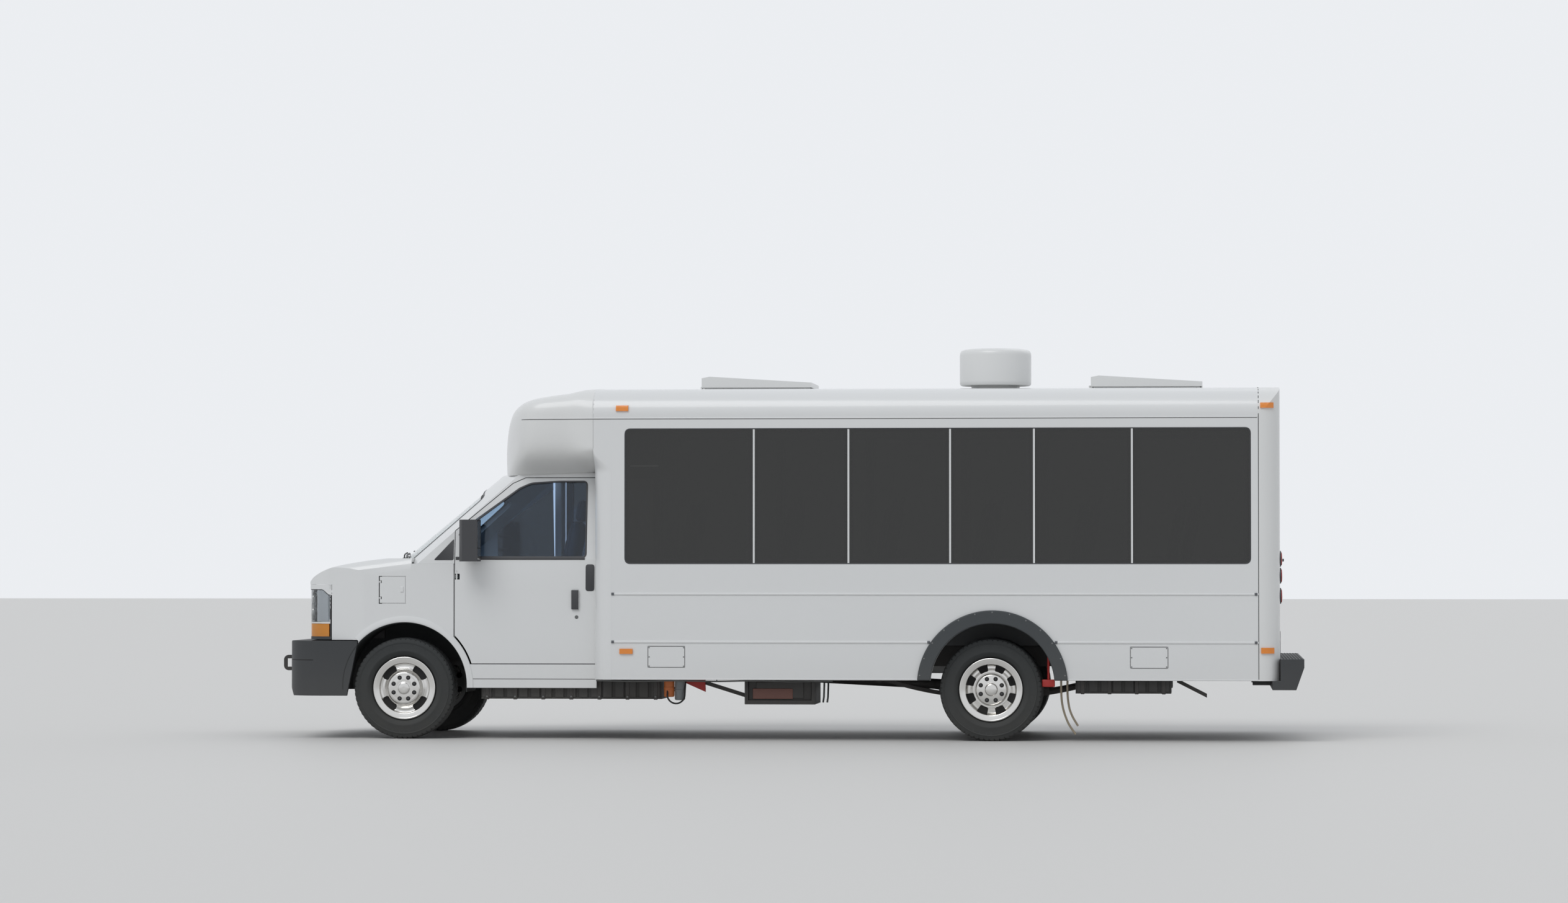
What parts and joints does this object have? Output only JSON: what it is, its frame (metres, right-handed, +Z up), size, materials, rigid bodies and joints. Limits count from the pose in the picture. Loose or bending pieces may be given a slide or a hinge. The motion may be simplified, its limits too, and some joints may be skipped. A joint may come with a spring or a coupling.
{
  "type": "airport passenger bus",
  "caption": "White airport shuttle bus on a van cab and chassis, with dark side windows, roof hatches, a roof vent and twin rear wheels.",
  "frame": {"origin": "on the ground under the middle of the overall length and width", "axes": "+X forward, +Y to the driver's side (left), +Z up"},
  "size_m": [7.876, 2.49, 3.013],
  "materials": {
    "paint_white": "gloss white paint",
    "cap_white": "gloss white moulded shell",
    "chassis_black": "satin black paint",
    "suspension_steel": "dark cast and forged steel",
    "battery_black": "black powder coat",
    "canister_orange": "orange and grey paint",
    "bracket_mix": "black and red paint",
    "bumper_grey": "grained dark grey plastic",
    "grille_dark": "dark grey plastic",
    "lamp_clear": "clear lens over a bright reflector",
    "cab_glass": "clear tinted glass",
    "dark_glass": "dark tinted glass",
    "mirror_black": "black grained plastic",
    "floor_grey": "grey ribbed floor covering",
    "door_black": "black door frames",
    "lamp_amber": "amber lens",
    "lamp_red": "red lens",
    "flare_grey": "dark grey plastic",
    "trim_grey": "grey moulded trim",
    "seat_fabric": "grey woven seat cloth",
    "bench_fabric": "blue woven seat cloth",
    "tyre": "black tyre rubber",
    "wheel_bright": "bright stainless wheel liner",
    "hose_tan": "tan drain hose"
  },
  "bodies": {
    "root": {"chassis_frame": "chassis_black", "front_suspension": "suspension_steel", "rear_axle": "suspension_steel", "drive_motor": "suspension_steel", "hood_electronics": "suspension_steel", "battery_packs": "battery_black", "converter_box": "battery_black", "coolant_canisters": "canister_orange", "underfloor_brackets": "bracket_mix", "cab_body": "paint_white", "front_fenders": "paint_white", "grille": "grille_dark", "headlamps": "lamp_clear", "front_bumper": "bumper_grey", "windshield": "cab_glass", "mirror_right": "mirror_black", "front_cap": "cap_white", "side_wall_left": "paint_white", "side_wall_right": "paint_white", "roof_panel": "paint_white", "rear_wall": "cap_white", "cabin_floor": "floor_grey", "step_well": "floor_grey", "side_glass": "dark_glass", "roof_vent": "cap_white", "marker_lamps": "lamp_amber", "tail_lamps": "lamp_red", "wheel_flares": "flare_grey", "rear_bumper": "bumper_grey", "dashboard": "trim_grey", "driver_seat": "seat_fabric", "passenger_seats": "bench_fabric", "drain_hose_front": "hose_tan", "drain_hose_rear": "hose_tan"},
    "knuckle_left": {"knuckle_left": "suspension_steel"},
    "knuckle_right": {"knuckle_right": "suspension_steel"},
    "wheel_front_left": {"tyre_front_left": "tyre", "rim_front_left": "wheel_bright"},
    "wheel_front_right": {"tyre_front_right": "tyre", "rim_front_right": "wheel_bright"},
    "wheels_rear_left": {"tyres_rear_left": "tyre", "rims_rear_left": "wheel_bright"},
    "wheels_rear_right": {"tyres_rear_right": "tyre", "rims_rear_right": "wheel_bright"},
    "hood": {"hood": "paint_white"},
    "cab_door": {"cab_door": "paint_white", "cab_door_glass": "cab_glass", "mirror_left": "mirror_black"},
    "charging_flap": {"charging_flap": "paint_white"},
    "entry_front": {"entry_leaf_front": "door_black", "entry_glass_front": "dark_glass"},
    "entry_rear": {"entry_leaf_rear": "door_black", "entry_glass_rear": "dark_glass"},
    "rear_door": {"rear_door": "paint_white", "rear_door_glass": "dark_glass"},
    "hatch_front": {"hatch_lid_front": "cap_white"},
    "hatch_rear": {"hatch_lid_rear": "cap_white"}
  },
  "joints": [
    {"name": "steer_left", "type": "hinge", "parent": "root", "child": "knuckle_left", "pos_m": [2.908, 0.76, 0.387], "axis": [0, 0, 1], "range_deg": [-33, 33]},
    {"name": "steer_right", "type": "hinge", "parent": "root", "child": "knuckle_right", "pos_m": [2.908, -0.76, 0.387], "axis": [0, 0, 1], "range_deg": [-33, 33]},
    {"name": "roll_front_left", "type": "hinge", "parent": "knuckle_left", "child": "wheel_front_left", "pos_m": [2.908, 0.86, 0.387], "axis": [0, 1, 0], "continuous": true},
    {"name": "roll_front_right", "type": "hinge", "parent": "knuckle_right", "child": "wheel_front_right", "pos_m": [2.908, -0.86, 0.387], "axis": [0, 1, 0], "continuous": true},
    {"name": "roll_rear_left", "type": "hinge", "parent": "root", "child": "wheels_rear_left", "pos_m": [-1.588, 0.868, 0.387], "axis": [0, 1, 0], "continuous": true},
    {"name": "roll_rear_right", "type": "hinge", "parent": "root", "child": "wheels_rear_right", "pos_m": [-1.588, -0.868, 0.387], "axis": [0, 1, 0], "continuous": true},
    {"name": "hood_hinge", "type": "hinge", "parent": "root", "child": "hood", "pos_m": [3.07, 0, 1.366], "axis": [0, -1, 0], "range_deg": [0, 50]},
    {"name": "cab_door_hinge", "type": "hinge", "parent": "root", "child": "cab_door", "pos_m": [2.498, 0.998, 1.02], "axis": [0, 0, -1], "range_deg": [0, 65]},
    {"name": "charging_flap_hinge", "type": "hinge", "parent": "root", "child": "charging_flap", "pos_m": [3.085, 0.999, 1.138], "axis": [0, 0, -1], "range_deg": [0, 110]},
    {"name": "entry_front_hinge", "type": "hinge", "parent": "root", "child": "entry_front", "pos_m": [1.9255, -1.2015, 1.24], "axis": [0, 0, 1], "range_deg": [0, 88]},
    {"name": "entry_rear_hinge", "type": "hinge", "parent": "root", "child": "entry_rear", "pos_m": [1.1905, -1.2015, 1.24], "axis": [0, 0, 1], "range_deg": [-88, 0]},
    {"name": "rear_door_hinge", "type": "hinge", "parent": "root", "child": "rear_door", "pos_m": [-3.774, -0.41, 1.52], "axis": [0, 0, 1], "range_deg": [0, 105]},
    {"name": "hatch_front_hinge", "type": "hinge", "parent": "root", "child": "hatch_front", "pos_m": [0.696, 0, 2.707], "axis": [0, 1, 0], "range_deg": [0, 65]},
    {"name": "hatch_rear_hinge", "type": "hinge", "parent": "root", "child": "hatch_rear", "pos_m": [-2.315, 0, 2.707], "axis": [0, 1, 0], "range_deg": [0, 65]}
  ],
  "couplings": [
    {"joint": "steer_right", "follows": "steer_left", "ratio": 1},
    {"joint": "entry_rear_hinge", "follows": "entry_front_hinge", "ratio": -1}
  ]
}
